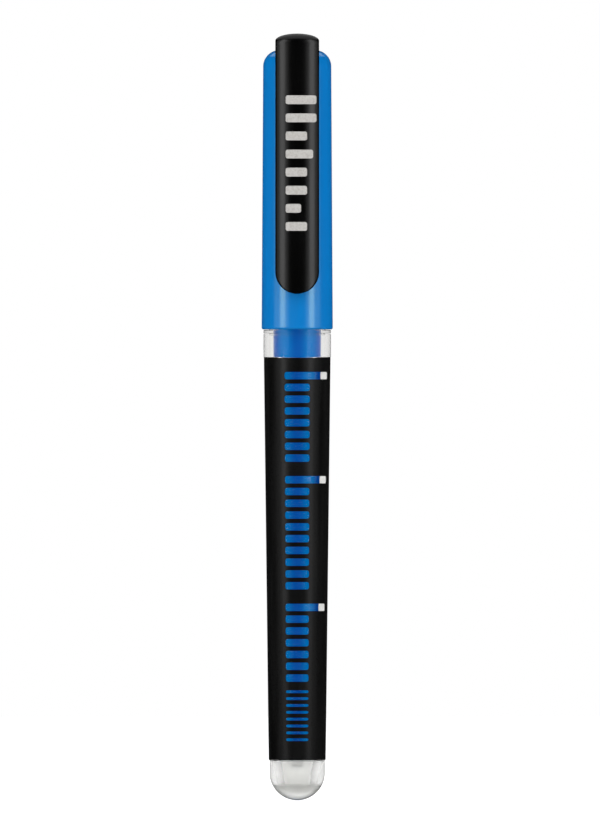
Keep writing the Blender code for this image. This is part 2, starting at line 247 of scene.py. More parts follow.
def blasted_places(tree, place, hollow_radius, hollow_floor):
    """Two masks: the walls of the hollow, and all that is below its floor, with a soft edge."""
    sides = add(tree, "SeparateXYZ", {0: place}).outputs
    from_axis = add(tree, "CombineXYZ", {"X": sides["X"], "Y": sides["Y"]})
    reach = add(tree, "VectorMath", {0: from_axis}, operation="LENGTH")
    near = add(tree, "Math", {0: reach, 1: hollow_radius * MM}, operation="LESS_THAN")
    above = add(tree, "Math", {0: sides["Z"], 1: hollow_floor * MM}, operation="GREATER_THAN")
    edge = {"From Min": (hollow_floor - 0.3) * MM, "From Max": (hollow_floor + 0.4) * MM}
    tip = add(tree, "MapRange", {"Value": sides["Z"], **edge, "To Min": 1.0, "To Max": 0.0})
    return add(tree, "Math", {0: near, 1: above}, operation="MULTIPLY"), tip


barrel_plastic = clear_polystyrene("clear_polystyrene_polished", 1.0, "#404040", 140.0)
tail_plastic = clear_polystyrene("clear_polystyrene_blasted", 0.93, "#404040", 30.0, (3.4, 2.9))
print("made", barrel_plastic.name, "and", tail_plastic.name)

# %% [markdown]
# ## Ink
#
# Writing ink in a full tank is so dense that only its skin shows: a deep, wet blue with slow clouds of
# dye. The round walls in front of it gather light in bands, darkest in the middle and brightest some
# 36 degrees to either side. A path tracer would need thousands of rays to find that light, so the ink
# glows faintly instead, in five bands round the axis. The plastic wets the ink, so it hardly mirrors.


# %% Ink
def dye_ink(name):
    made, tree, place = new_material(name)
    clouds = {"Value": grain(tree, place, 5.0, (1, 1, 3)), **MIDDLE}
    dye = {0: add(tree, "MapRange", clouds), 6: "#0159A4", 7: "#0166B0"}
    sides = add(tree, "SeparateXYZ", {0: place}).outputs
    turn = add(tree, "Math", {0: sides["X"], 1: sides["Y"]}, operation="ARCTAN2")
    folds = add(tree, "Math", {0: turn, 1: 5.0}, operation="MULTIPLY")
    wave = add(tree, "Math", {0: folds}, operation="COSINE")
    bands = add(tree, "MapRange", {"Value": wave, "From Min": -0.8, "From Max": 0.8})
    shader = add(
        tree,
        "BsdfPrincipled",
        {
            "Base Color": add(tree, "Mix", dye, data_type="RGBA"),
            "Roughness": add(tree, "MapRange", {**clouds, "To Min": 0.2, "To Max": 0.3}),
            "IOR": 1.34,
            "Specular IOR Level": 0.06,
            "Emission Color": add(tree, "Mix", {0: bands, 6: "#003E8C", 7: "#006AAC"}, data_type="RGBA"),
            "Emission Strength": 1.02,
        },
    )
    add(tree, "OutputMaterial", {"Surface": shader})
    return made


ink = dye_ink("dye_ink_blue")
print("made", ink.name)

# %% [markdown]
# ## Label film and prints
#
# The label is a thin black film with a satin varnish, so its grain is finer than its gloss. It is
# wrapped once round and overlaps itself at the back, where its edge stands up as a fine line: a bump
# that rises sharply and then fades out. The prints are pads of pale ink, a few hundredths of a
# millimetre thick, with slightly starved patches.


# %% Label film
def varnished_film(name):
    made, tree, place = new_material(name)
    weave = grain(tree, place, 0.18, detail=4.0)
    pull = add(tree, "MapRange", {"Value": grain(tree, place, 1.5, (1, 1, 12)), **MIDDLE})
    sides = add(tree, "SeparateXYZ", {0: place}).outputs
    step = add(tree, "MapRange", {"Value": sides["X"], "From Min": 0.95 * MM, "From Max": 1.05 * MM})
    falling = {"From Min": 1.2 * MM, "From Max": 4.0 * MM, "To Min": 1.0, "To Max": 0.0}
    fade = add(tree, "MapRange", {"Value": sides["X"], **falling})
    behind = add(tree, "Math", {0: sides["Y"], 1: 0.0}, operation="GREATER_THAN")
    raised = add(tree, "Math", {0: step, 1: fade}, operation="MULTIPLY")
    overlap = add(tree, "Math", {0: raised, 1: behind}, operation="MULTIPLY")
    woven = add(tree, "Bump", {"Height": weave, "Distance": 0.002 * MM})
    shader = add(
        tree,
        "BsdfPrincipled",
        {
            "Base Color": add(tree, "Mix", {0: pull, 6: "#080808", 7: "#121212"}, data_type="RGBA"),
            "Roughness": add(tree, "MapRange", {"Value": weave, **MIDDLE, "To Min": 0.26, "To Max": 0.34}),
            "Specular IOR Level": 0.16,
            "IOR": 1.5,
            "Normal": add(tree, "Bump", {"Height": overlap, "Distance": 0.06 * MM, "Normal": woven}),
        },
    )
    add(tree, "OutputMaterial", {"Surface": shader})
    return made


film = varnished_film("varnished_film_black")


# %% Prints
def pad_print(name, colour, starved):
    made, tree, place = new_material(name)
    patches = grain(tree, place, 0.35, detail=5.0, roughness=0.7)
    thin = add(tree, "MapRange", {"Value": patches, "From Min": 0.45, "From Max": 0.75})
    shader = add(
        tree,
        "BsdfPrincipled",
        {
            "Base Color": add(tree, "Mix", {0: thin, 6: colour, 7: starved}, data_type="RGBA"),
            "Roughness": add(tree, "MapRange", {"Value": patches, **MIDDLE, "To Min": 0.4, "To Max": 0.6}),
            "Specular IOR Level": 0.3,
            "Normal": add(tree, "Bump", {"Height": patches, "Distance": 0.004 * MM}),
        },
    )
    add(tree, "OutputMaterial", {"Surface": shader})
    return made


silver_print = pad_print("pad_print_silver", "#B9B7B4", "#97928D")
white_print = pad_print("pad_print_white", "#DCDCDA", "#CACAC8")
print("made", film.name, silver_print.name, white_print.name)

# %% [markdown]
# ## Hidden finishes
#
# Under the cap are a satin black nose, a milky polypropylene liner, a nitrile seal and three pieces
# that the ink has soaked or stained: the collector, the wick and the nib. Bonded fibre shows as fine
# lines along the piece, because the filaments are drawn in one direction and then glued.


# %% Satin, milky and rubber finishes
def satin_plastic(name, colour, shade, roughness, milky=0.0):
    made, tree, place = new_material(name)
    spark = grain(tree, place, 0.08, detail=3.0)
    flow = add(tree, "MapRange", {"Value": grain(tree, place, 2.0, (1, 1, 6)), **MIDDLE})
    eroded = {"Value": spark, **MIDDLE, "To Min": roughness * 0.85, "To Max": roughness * 1.15}
    shader = add(
        tree,
        "BsdfPrincipled",
        {
            "Base Color": add(tree, "Mix", {0: flow, 6: colour, 7: shade}, data_type="RGBA"),
            "Roughness": add(tree, "MapRange", eroded),
            "IOR": 1.5,
            "Subsurface Weight": milky,
            "Subsurface Radius": (1.0, 0.9, 0.8),
            "Subsurface Scale": 0.6 * MM,
            "Normal": add(tree, "Bump", {"Height": spark, "Distance": 0.006 * MM, "Strength": 0.7}),
        },
    )
    add(tree, "OutputMaterial", {"Surface": shader})
    return made


nose_plastic = satin_plastic("spark_eroded_abs_black", "#0E0E0F", "#151516", 0.42)
liner_plastic = satin_plastic("natural_polypropylene", "#DEDFDB", "#D2D4D1", 0.4, 0.5)
seal_rubber = satin_plastic("nitrile_rubber", "#1A1A1A", "#232322", 0.62)
stained_plastic = satin_plastic("ink_stained_abs", "#2F7FC4", "#1B66AE", 0.35)
print("made", nose_plastic.name, liner_plastic.name, seal_rubber.name, stained_plastic.name)


# %% Fibre finish
def bonded_fibre(name, colour, shade):
    made, tree, place = new_material(name)
    strands = grain(tree, place, 0.09, (1, 1, 30), detail=4.0, roughness=0.6)
    soak = grain(tree, place, 1.6, (1, 1, 2))
    lines = {0: add(tree, "MapRange", {"Value": strands, **MIDDLE}), 6: colour, 7: shade}
    wet = add(tree, "MapRange", {"Value": soak, **MIDDLE, "To Max": 0.5})
    soaked = {0: wet, 6: add(tree, "Mix", lines, data_type="RGBA"), 7: shade}
    shader = add(
        tree,
        "BsdfPrincipled",
        {
            "Base Color": add(tree, "Mix", soaked, data_type="RGBA"),
            "Roughness": add(tree, "MapRange", {"Value": strands, **MIDDLE, "To Min": 0.45, "To Max": 0.8}),
            "Sheen Weight": 0.15,
            "Normal": add(tree, "Bump", {"Height": strands, "Distance": 0.03 * MM}),
        },
    )
    add(tree, "OutputMaterial", {"Surface": shader})
    return made


nib_fibre = bonded_fibre("drawn_nylon_fibre_inked", "#0F6DBE", "#053C80")
wick_fibre = bonded_fibre("bonded_polyester_inked", "#3C8FD2", "#1560A8")
print("made", nib_fibre.name, "and", wick_fibre.name)

# %% [markdown]
# ## Turned shapes
#
# Most of a pen is turned round one axis, so one outline of radius and height makes each piece. Real
# moulded edges are never sharp: each corner of an outline here has a radius, which one function turns
# into an arc. The small radii are what catch the light along every rim.
#
# Smooth shading blends the directions of neighbouring faces, so a small arc would also bend the long
# straight face beside it, and clear plastic would then refract like a lens. A point held close to each
# end of an arc confines that blend to a narrow strip.


# %% Outline and lathe helpers
ROUND, SHARP = 128, math.radians(50)


def rounded(corners, steps=5, hold=0.02):
    """An outline with an arc at each corner: corners are radius, height and the corner's own radius."""
    places = [complex(r, z) for r, z, _ in corners]
    ways, reaches = [], []
    for i, (_, _, size) in enumerate(corners):
        back = places[i - 1] - places[i]
        on = places[(i + 1) % len(places)] - places[i]
        back, on = back / abs(back), on / abs(on)
        half = math.acos(max(-1, min(1, (back * on.conjugate()).real))) / 2
        ways.append((back, on, half))
        reaches.append(size / math.tan(half) if size else 0.0)
    outline = []
    for i, (_, _, size) in enumerate(corners):
        here, reach, (back, on, half) = places[i], reaches[i], ways[i]
        if not size:
            outline.append((here.real, here.imag))
            continue
        after = (i + 1) % len(corners)
        free_back = abs(places[i - 1] - here) - reach - reaches[i - 1]
        free_on = abs(places[after] - here) - reach - reaches[after]
        middle = here + (back + on) / abs(back + on) * size / math.sin(half)
        start, end = here + back * reach - middle, here + on * reach - middle
        points = []
        if free_back > 3 * hold:
            points.append(here + back * (reach + hold))
        for step in range(steps + 1):
            share = step / steps
            point = start * (1 - share) + end * share
            points.append(middle + point / abs(point) * size)
        if free_on > 3 * hold:
            points.append(here + on * (reach + hold))
        outline += [(point.real, point.imag) for point in points]
    return outline


def keep(name, bm, finish):
    """Makes the piece from a mesh in metres, with smooth shading over all but its sharp edges."""
    bmesh.ops.recalc_face_normals(bm, faces=bm.faces)
    mesh = bpy.data.meshes.new(name)
    bm.to_mesh(mesh)
    bm.free()
    mesh.materials.append(finish)
    mesh.shade_smooth()
    mesh.set_sharp_from_angle(angle=SHARP)
    obj = bpy.data.objects.new(name, mesh)
    bpy.context.scene.collection.objects.link(obj)
    return obj


def turned(name, outline, finish, facets=ROUND):
    """Turns an outline round Z. One that starts and ends on the axis is solid, any other is a ring."""
    bm = bmesh.new()
    rings = []
    for r, z in outline:
        count = facets if r > 0 else 1
        turns = [2 * math.pi * i / facets for i in range(count)]
        rings.append([bm.verts.new(Vector((r * math.cos(t), r * math.sin(t), z)) * MM) for t in turns])
    pairs = list(zip(rings, rings[1:]))
    if outline[0][0] > 0:
        pairs.append((rings[-1], rings[0]))
    for lower, upper in pairs:
        for i in range(facets):
            corners = (lower[i % len(lower)], lower[(i + 1) % len(lower)])
            corners += (upper[(i + 1) % len(upper)], upper[i % len(upper)])
            bm.faces.new(dict.fromkeys(corners))
    return keep(name, bm, finish)


def fit(obj, body, *nodes):
    """The piece rides on a body and stands for nodes of the mechanical model."""
    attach(obj, body)
    if nodes:
        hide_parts(*nodes)
    print(f"{obj.name}: {len(obj.data.polygons)} faces, rides on {body}")
    return obj


# %% [markdown]
# ## Barrel, tail and tank
#
# The barrel is a plain draft-angled tube. Its front few millimetres stand level with the label's
# outside, so that the film's edge is protected, and that band is the clear ring below the cap. The
# tail is a tapered cup pressed into the barrel. Its polished wall magnifies the hollow to nearly the
# tail's full width, and the tank's locating pin shows through it as a darker spot.


# %% Barrel
wall_front, wall_tail = 5.93, 5.05
bore_front, bore_tail = 5.2, 4.3


def barrel_outside(z):
    share = (z - barrel_tail) / (label_top - barrel_tail)
    return wall_tail + (wall_front - wall_tail) * share


barrel = turned(
    "barrel",
    rounded(
        [
            (bore_tail, barrel_tail, 0.1),
            (wall_tail, barrel_tail, 0.05),
            (wall_front, label_top, 0),
            (ring_radius, label_top + 0.1, 0.08),
            (ring_radius, barrel_top, 0.05),
            (bore_front, barrel_top, 0.05),
        ]
    ),
    barrel_plastic,
)
fit(barrel, "barrel", "barrel_tube")

# %% Tail
hollow_floor, floor_radius, hollow_mouth = 3.0, 2.2, 3.25
spigot_radius, spigot_top = 4.2, 8.5
shoulder = barrel_tail - 0.1
dome_steps = 24
dome_turns = [math.pi / 2 * i / dome_steps for i in range(dome_steps + 1)]
round_end = [(tail_radius * math.sin(t), tail_radius * (1 - math.cos(t))) for t in dome_turns]
tail_outline = [(0, 0), *round_end[1:-1]]
tail_outline += rounded(
    [
        (*round_end[-1], 0),
        (tail_radius, shoulder, 0.05),
        (spigot_radius, shoulder, 0.05),
        (spigot_radius, spigot_top, 0.12),
        (hollow_mouth, spigot_top, 0.12),
        (floor_radius, hollow_floor, 0.6),
        (0, hollow_floor, 0),
    ]
)
fit(turned("tail_cup", tail_outline, tail_plastic), "barrel", "tail_plug")

# %% Tank
tank_floor, tank_wall, pin_radius = 8.8, 0.86, 1.4
tank_tail = 3.86
pin_end = low("ink_tank")
tank_outline = [
    (0, pin_end, 0),
    (pin_radius, pin_end, 0.5),
    (pin_radius, tank_floor, 0.2),
    (tank_tail, tank_floor, 0.8),
    (tank_radius, tank_top, 0.1),
    (tank_radius - tank_wall, tank_top, 0.1),
    (tank_tail - tank_wall, tank_floor + tank_wall, 0.5),
    (0, tank_floor + tank_wall, 0),
]
fit(turned("tank", rounded(tank_outline), barrel_plastic), "barrel", "ink_tank")

# %% [markdown]
# ## Ink
#
# Liquid touches the wall that holds it. If the ink had a hair of air round it, the tank's wall would
# act as an empty tube and the ink would look thin. So the ink's skin lies a hundredth of a
# millimetre inside the wall's plastic, and the wall then magnifies it to the tank's full width.

# %% Ink column
soak = 0.012
wick_hole, wick_hole_floor = 1.1, 78.0
ink_low, ink_high = low("ink_column") - 0.07, top("ink_column")


def tank_bore(z):
    share = (z - tank_floor) / (tank_top - tank_floor)
    return tank_tail + (tank_radius - tank_tail) * share - tank_wall + soak


ink_outline = [
    (0, ink_low, 0),
    (tank_bore(ink_low), ink_low, 0.45),
    (tank_bore(ink_high), ink_high, 0.05),
    (wick_hole, ink_high - 0.15, 0.05),
    (wick_hole, wick_hole_floor, 0.1),
    (0, wick_hole_floor, 0),
]
fit(turned("ink", rounded(ink_outline), ink), "barrel", "ink_column")

# %% [markdown]
# ## Label
#
# The label is a film wrapped round the barrel, with windows cut through it to show the ink. Cutting
# holes with a Boolean would leave ragged triangles in such a thin curved sheet. It is laid out as a
# grid instead: lines run up the film at chosen turns, each line has a point at every window's edge
# that it meets, and faces fill the stretches between the windows.

# %% Window layout
bar_height, bar_pitch = 1.35, 2.15
hairline_height, hairline_pitch = 0.5, 1.25
ladders = ((77.6, 8), (58.6, 10), (35.3, 7))
hairlines = (19.9, 8)
short_turn, long_turn, corner_turn = 23.0, 64.0, 4.3
corner_steps = 4

windows = []
for first, count in ladders:
    windows += [(first - i * bar_pitch, bar_height, short_turn if i else long_turn) for i in range(count)]
first, count = hairlines
windows += [(first - i * hairline_pitch, hairline_height, short_turn) for i in range(count)]
longest = math.radians(short_turn + long_turn) * wall_front
print(f"{len(windows)} windows, the longest {longest:.1f} mm")


# %% Film mesh
def film_turns():
    """Turns of the film's lines, closer together where the windows' corners are."""
    corner = [corner_turn * (1 - math.cos(math.pi / 2 * i / corner_steps)) for i in range(corner_steps + 1)]
    turns = [-short_turn + c for c in corner]
    turns += [-short_turn + corner_turn + (2 * (short_turn - corner_turn)) * i / 14 for i in range(1, 14)]
    turns += [short_turn - c for c in reversed(corner)]
    turns += [short_turn + (long_turn - corner_turn - short_turn) * i / 15 for i in range(1, 15)]
    turns += [long_turn - c for c in reversed(corner)]
    back = 360 - long_turn - short_turn
    return turns + [long_turn + back * i / 96 for i in range(1, 96)]


def window_half(height, turn, end):
    """Half a window's height at a turn, with round corners at its ends."""
    corner = min(0.45, 0.44 * height)
    inside = min(turn + short_turn, end - turn) / corner_turn
    rise = 1 if inside >= 1 else math.sqrt(max(0, 1 - (1 - inside) ** 2))
    return height / 2 - corner * (1 - rise)


def film_mesh(gap, wall):
    bm = bmesh.new()
    turns = film_turns()
    lines = []
    for turn in turns:
        levels = {"top": label_top}
        for w, (centre, height, end) in enumerate(windows):
            if turn <= end + 1e-6:
                half = window_half(height, turn, end)
                levels[w, "top"], levels[w, "low"] = centre + half, centre - half
        levels["low"] = label_bottom
        out = Vector((math.sin(math.radians(turn)), -math.cos(math.radians(turn)), 0))
        line = {}
        for key, z in levels.items():
            skins = (barrel_outside(z) + gap, barrel_outside(z) + gap + wall)
            line[key] = [bm.verts.new((out * r + Vector((0, 0, z))) * MM) for r in skins]
        lines.append((turn, line))
    for (turn, line), (next_turn, following) in zip(lines, lines[1:] + lines[:1]):
        passing = [w for w, window in enumerate(windows) if turn < window[2] - 1e-6 and next_turn > turn]
        marks = ["top"] + [(w, side) for w in passing for side in ("top", "low")] + ["low"]
        for upper, lower in zip(marks[0::2], marks[1::2]):
            for skin in (0, 1):
                near = [line[key][skin] for key in between(line, upper, lower)]
                far = [following[key][skin] for key in between(following, upper, lower)]
                bm.faces.new(near + far[::-1])
        for key in marks:
            bm.faces.new((*line[key], *reversed(following[key])))
    for w, window in enumerate(windows):
        for turn, line in lines:
            if turn == turns[0] or abs(turn - window[2]) < 1e-6:
                bm.faces.new((*line[w, "top"], *reversed(line[w, "low"])))
    return bm


def between(line, upper, lower):
    """The marks down one line of the film, from an upper one to a lower one."""
    keys = list(line)
    return keys[keys.index(upper) : keys.index(lower) + 1]


film_gap, film_wall = 0.03, 0.13
fit(keep("label", film_mesh(film_gap, film_wall), film), "barrel", "label_sleeve")

# %% [markdown]
# ## Level marks and the clip's print
#
# The long window at the head of each ladder ends in a pale printed mark, which shows beside the ink.
# A print follows the surface under it, so each mark is a small curved patch. The same function prints
# on the round film and on the clip's bowed face: it is told where a flat point lands.


# %% Print helper
def printed(name, finish, edges, corner, land, depth):
    """A pad of print with round corners. land gives the place and the outward way at a flat point."""
    left, right, low_edge, high_edge = edges
    bm = bmesh.new()
    columns = 16
    rows = []
    for i in range(columns + 1):
        share = (1 - math.cos(math.pi * i / columns)) / 2
        s = left + (right - left) * share
        inside = min(s - left, right - s) / corner
        rise = 1 if inside >= 1 else math.sqrt(max(0, 1 - (1 - inside) ** 2))
        cut = corner * (1 - rise)
        row = []
        for z in (low_edge + cut, high_edge - cut):
            spot, out = land(s, z)
            row.append([bm.verts.new((spot + out * d) * MM) for d in (0, depth)])
        rows.append(row)
    for near, far in zip(rows, rows[1:]):
        for skin in (0, 1):
            bm.faces.new((near[0][skin], near[1][skin], far[1][skin], far[0][skin]))
        for edge in (0, 1):
            bm.faces.new((near[edge][0], near[edge][1], far[edge][1], far[edge][0]))
    for row in (rows[0], rows[-1]):
        bm.faces.new((row[0][0], row[1][0], row[1][1], row[0][1]))
    return keep(name, bm, finish)


# %% Level marks beside the ink
def on_barrel(turn, z):
    out = Vector((math.sin(math.radians(turn)), -math.cos(math.radians(turn)), 0))
    return out * (barrel_outside(z) + film_gap) + Vector((0, 0, z)), out


mark_start, mark_end, mark_half = 45.5, long_turn - 0.4, bar_height / 2 - 0.01
for number, (middle, _) in enumerate(ladders, 1):
    edges = (mark_start, mark_end, middle - mark_half, middle + mark_half)
    mark = printed(f"level_mark_{number}", white_print, edges, 0.4, on_barrel, film_wall)
    fit(mark, "barrel")

# %% [markdown]
# ## Clip
#
# Crown and clip are one springy moulding. It is made as a loft: rows of points run up the bowed arm,
# over the bend and back along the crown, and each row knows its outer and inner middle point and its
# half width. The two round ends come from rows that close in like the slices of a circle. The crown's
# top is a shallow dome, an ellipse that gets steep at its edge.

# %% Clip sizes
clip_inner = -7.3
face_curve = 6.6
crown_under = cap_top + 0.2
crown_fall, rim_edge = 1.31, 0.28
outer_bend, inner_bend = 2.0, 2.3
bump_middle, bump_height, bump_curve = -8.4, 95.6, 1.8
lead_in, lead_height = -8.2, 94.0
across = 28


def bow(x):
    """How far the clip's face falls back at x from its middle."""
    return face_curve - math.sqrt(face_curve**2 - x * x)


def fillet(inside, size):
    """How far a rounded edge falls at that distance inside the edge."""
    inside = max(0.0, min(size, inside))
    return size - math.sqrt(size**2 - (size - inside) ** 2)


def crown_dome(reach):
    """How far the crown's top has fallen at that distance from its axis."""
    return crown_fall * (1 - math.sqrt(max(0.0, 1 - (reach / clip_half) ** 2)))


def arm_back(z):
    """The arm's inner face, with its bump towards the cap and the lead-in below it."""
    if z < lead_height:
        low_y = bump_middle + math.sqrt(bump_curve**2 - (lead_height - bump_height) ** 2)
        return low_y + (lead_in - low_y) * (lead_height - z) / (lead_height - clip_end)
    reach = bump_curve**2 - (z - bump_height) ** 2
    return max(clip_inner, bump_middle + math.sqrt(reach)) if reach > 0 else clip_inner


# %% Clip rows
def clip_rows():
    """Rows up the arm and back along the crown: outer and inner middle, half width, turn to the crown."""
    rows = []
    end_middle = clip_end + clip_half
    for i in range(1, 27):
        t = math.pi / 2 * i / 26
        z = end_middle - clip_half * math.cos(t)
        pinch = fillet(z - clip_end, 0.45)
        rows.append(((clip_front + pinch, z), (arm_back(z) - pinch, z), clip_half * math.sin(t), 0.0))
    straight_top = crown_top - outer_bend
    inner_top = crown_under - inner_bend
    for i in range(1, 49):
        share = i / 48
        outer_z = end_middle + (straight_top - end_middle) * share
        inner_z = end_middle + (inner_top - end_middle) * share
        rows.append(((clip_front, outer_z), (arm_back(inner_z), inner_z), clip_half, 0.0))
    for i in range(1, 13):
        t = math.pi / 2 * i / 12
        outer = (clip_front + outer_bend * (1 - math.cos(t)), straight_top + outer_bend * math.sin(t))
        inner = (clip_inner + inner_bend * (1 - math.cos(t)), inner_top + inner_bend * math.sin(t))
        rows.append((outer, inner, clip_half, t))
    outer_start, inner_start = clip_front + outer_bend, clip_inner + inner_bend
    flat = math.pi / 2
    for i in range(1, 13):
        share = i / 12
        ends = ((outer_start * (1 - share), crown_top), (inner_start * (1 - share), crown_under))
        rows.append((*ends, clip_half, flat))
    for i in range(1, 26):
        t = math.pi / 2 * i / 26
        y = clip_half * math.sin(t)
        rows.append(((y, crown_top), (y, crown_under), clip_half * math.cos(t), flat))
    return rows


def clip_section(outer, inner, half, turn):
    """One row's closed loop: across the outer face one way and back across the inner face."""
    way = Vector((0, math.cos(turn), -math.sin(turn)))
    crown = turn / (math.pi / 2)
    start, end = Vector((0, *outer)), Vector((0, *inner))
    past_middle = max(0.0, outer[0])
    loop = []
    for i in range(across + 1):
        x = half * math.sin(math.pi * (i / across - 0.5))
        top_fall = crown_dome(math.hypot(x, past_middle))
        fall = (1 - crown) * (bow(x) + fillet(half - abs(x), rim_edge)) + crown * top_fall
        loop.append(start + way * fall + Vector((x, 0, 0)))
    for i in range(across, -1, -1):
        x = half * math.sin(math.pi * (i / across - 0.5))
        loop.append(end - way * fillet(half - abs(x), rim_edge) + Vector((x, 0, 0)))
    return loop


# %% Clip mesh
def lofted(name, loops, finish):
    bm = bmesh.new()
    rings = [[bm.verts.new(point * MM) for point in loop] for loop in loops]
    for near, far in zip(rings, rings[1:]):
        for i in range(len(near)):
            j = (i + 1) % len(near)
            bm.faces.new((near[i], near[j], far[j], far[i]))
    for ring in (rings[0], rings[-1]):
        half = len(ring) // 2
        for i in range(half - 1):
            bm.faces.new((ring[i], ring[i + 1], ring[-2 - i], ring[-1 - i]))
    bmesh.ops.remove_doubles(bm, verts=bm.verts, dist=1e-7)
    return keep(name, bm, finish)


clip = lofted("clip", [clip_section(*row) for row in clip_rows()], clip_plastic)
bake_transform(clip)
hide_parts("clip_root", "clip_arm")
print("clip:", len(clip.data.polygons), "faces, bends between the cap and the clip bodies")

# %% [markdown]
# The crown is held by a barbed stem that snaps through the cap's end. It is turned, like the barrel,
# and it rides on the cap, because it doesn't take part in the bending.

# %% Clip stem
stem = [
    (0, 132.6, 0),
    (2.15, 132.6, 0.1),
    (2.68, 133.3, 0.08),
    (2.45, 133.6, 0.05),
    (2.45, crown_under + 0.4, 0),
    (0, crown_under + 0.4, 0),
]
fit(turned("clip_stem", rounded(stem), clip_plastic), "cap")


# %% Print on the clip
def on_clip(x, z):
    place = Vector((x, clip_front + bow(x), z))
    return place, Vector((x, bow(x) - face_curve, 0)).normalized()


print_height, print_pitch, print_top, print_left = 1.6, 3.3, 127.9, -2.1
print_widths = (5.6, 5.6, 3.9, 5.0, 3.9, 3.9, 2.8, 3.9)
for number, width in enumerate(print_widths, 1):
    middle = print_top - (number - 1) * print_pitch
    edges = (print_left, print_left + width, middle - print_height / 2, middle + print_height / 2)
    bar = printed(f"clip_print_{number}", silver_print, edges, 0.35, on_clip, 0.012)
    fit(bar, "clip")

# %% [markdown]
# ## Cap
#
# The cap is a cup with a slight draft, so that it leaves its mould, and a full round shoulder. Inside
# it is a milky liner, whose bore seals on the nose so that the nib doesn't dry.

# %% Cap shell
shoulder_radius, shoulder_fillet = 6.21, 3.0
cap_outline = [
    (5.62, cap_rim, 0.08),
    (rim_radius, cap_rim, 0.35),
    (shoulder_radius, cap_top, shoulder_fillet),
    (2.55, cap_top, 0.08),
    (2.55, 135.6, 0.08),
    (4.65, 135.6, 0.8),
    (5.4, 92.0, 0),
    (5.45, 86.6, 0.05),
]
fit(turned("cap", rounded(cap_outline, 12), cap_plastic), "cap", "cap_shell")

# %% Liner
liner_outline = [
    (0, 131.4, 0),
    (3.42, 131.4, 0.4),
    (3.42, 109.4, 0.1),
    (3.67, 109.0, 0.05),
    (4.1, 109.0, 0.1),
    (4.1, 133.4, 0.05),
    (4.95, 133.4, 0.1),
    (4.95, 134.5, 0.1),
    (4.1, 135.3, 0.1),
    (2.78, 135.3, 0.1),
    (2.78, 132.2, 0.1),
    (0, 132.2, 0),
]
fit(turned("liner", rounded(liner_outline), liner_plastic, 96), "cap", "inner_cap")

# %% [markdown]
# ## Grip, collector and nose
#
# The grip's flange is the thin clear ring at the top of the barrel. Its bead is what the cap clicks
# over. Through its clear wall the collector shows: a stack of thin fins round a core, which stores
# the ink that the warming air pushes out of the tank. A slit lets it pass from fin to fin.

# %% Grip
grip_outline = [
    (4.5, 84.95, 0.05),
    (5.1, 84.95, 0.05),
    (5.1, 85.33, 0.03),
    (ring_radius, 85.33, 0.05),
    (ring_radius, 85.95, 0.14),
    (5.15, 85.95, 0.1),
    (5.15, 88.9, 0),
    (5.28, 89.2, 0.15),
    (5.28, 89.6, 0.15),
    (5.12, 90.0, 0),
    (4.35, 106.2, 0.4),
    (4.1, 107.3, 0.3),
    (3.3, 107.5, 0.08),
    (3.3, 103.8, 0.05),
    (3.9, 103.2, 0.1),
    (3.9, 89.0, 0.05),
    (4.5, 89.0, 0.05),
]
fit(turned("grip", rounded(grip_outline), barrel_plastic), "barrel", "section_body")

# %% Collector
core_radius, fin_radius, collector_bore = 1.7, 3.7, 1.05
fins, fin_wall, first_fin, last_fin = 11, 0.5, 90.2, 102.5
fin_pitch = (last_fin - first_fin) / (fins - 1)
collector_outline = [
    (collector_bore, 86.4, 0.05),
    (3.34, 86.4, 0.1),
    (3.34, 88.95, 0.1),
    (core_radius, 88.95, 0.1),
]
for i in range(fins):
    z = first_fin + i * fin_pitch
    foot = 0.08 if i else 0.1
    collector_outline += [(core_radius, z, foot), (fin_radius, z, 0.12), (fin_radius, z + fin_wall, 0.12)]
    if i < fins - 1:
        collector_outline.append((core_radius, z + fin_wall, 0.08))
collector_outline.append((collector_bore, last_fin + fin_wall, 0.1))
collector = turned("collector_fins", rounded(collector_outline, 3), stained_plastic, 96)
bpy.ops.mesh.primitive_cube_add(size=1, location=(0, 3.6 * MM, 96.3 * MM))
slit = bpy.context.object
slit.name = "collector_slit"
slit.scale = (0.6 * MM, 3.0 * MM, 14.0 * MM)
cut = collector.modifiers.new("slit", "BOOLEAN")
cut.object, cut.solver, cut.operation = slit, "EXACT", "DIFFERENCE"
finished = collector.evaluated_get(bpy.context.evaluated_depsgraph_get())
collector.data = bpy.data.meshes.new_from_object(finished)
collector.modifiers.clear()
bpy.data.objects.remove(slit)
fit(collector, "barrel", "collector")

# %% Nose
nose_outline = [
    (1.35, 104.0, 0.05),
    (3.2, 104.0, 0.1),
    (3.2, 107.6, 0.03),
    (3.95, 107.6, 0.1),
    (3.95, 108.3, 0.1),
    (3.3, 108.8, 0.05),
    (3.3, 112.8, 0.5),
    (2.1, 113.4, 0.4),
    (1.85, 118.0, 0.2),
    (1.35, 118.0, 0.08),
]
fit(turned("nose", rounded(nose_outline), nose_plastic, 96), "barrel", "nose_cone")

# %% Seal and wick
seal_outline = [(3.54, 88.1, 0.2), (4.36, 88.1, 0.2), (4.36, 88.9, 0.2), (3.54, 88.9, 0.2)]
fit(turned("seal", rounded(seal_outline), seal_rubber, 96), "barrel", "tank_seal")
wick_outline = [(0, 78.4, 0), (0.9, 78.4, 0.15), (0.9, 109.8, 0.15), (0, 109.8, 0)]
fit(turned("wick", rounded(wick_outline), wick_fibre, 48), "barrel", "feed_wick")

# %% [markdown]
# ## Nib
#
# The brush nib is a bundle of fibres ground to a soft point. The mechanical model splits it at the
# nose so that it can bend; here it is one piece that turns smoothly across that hinge.

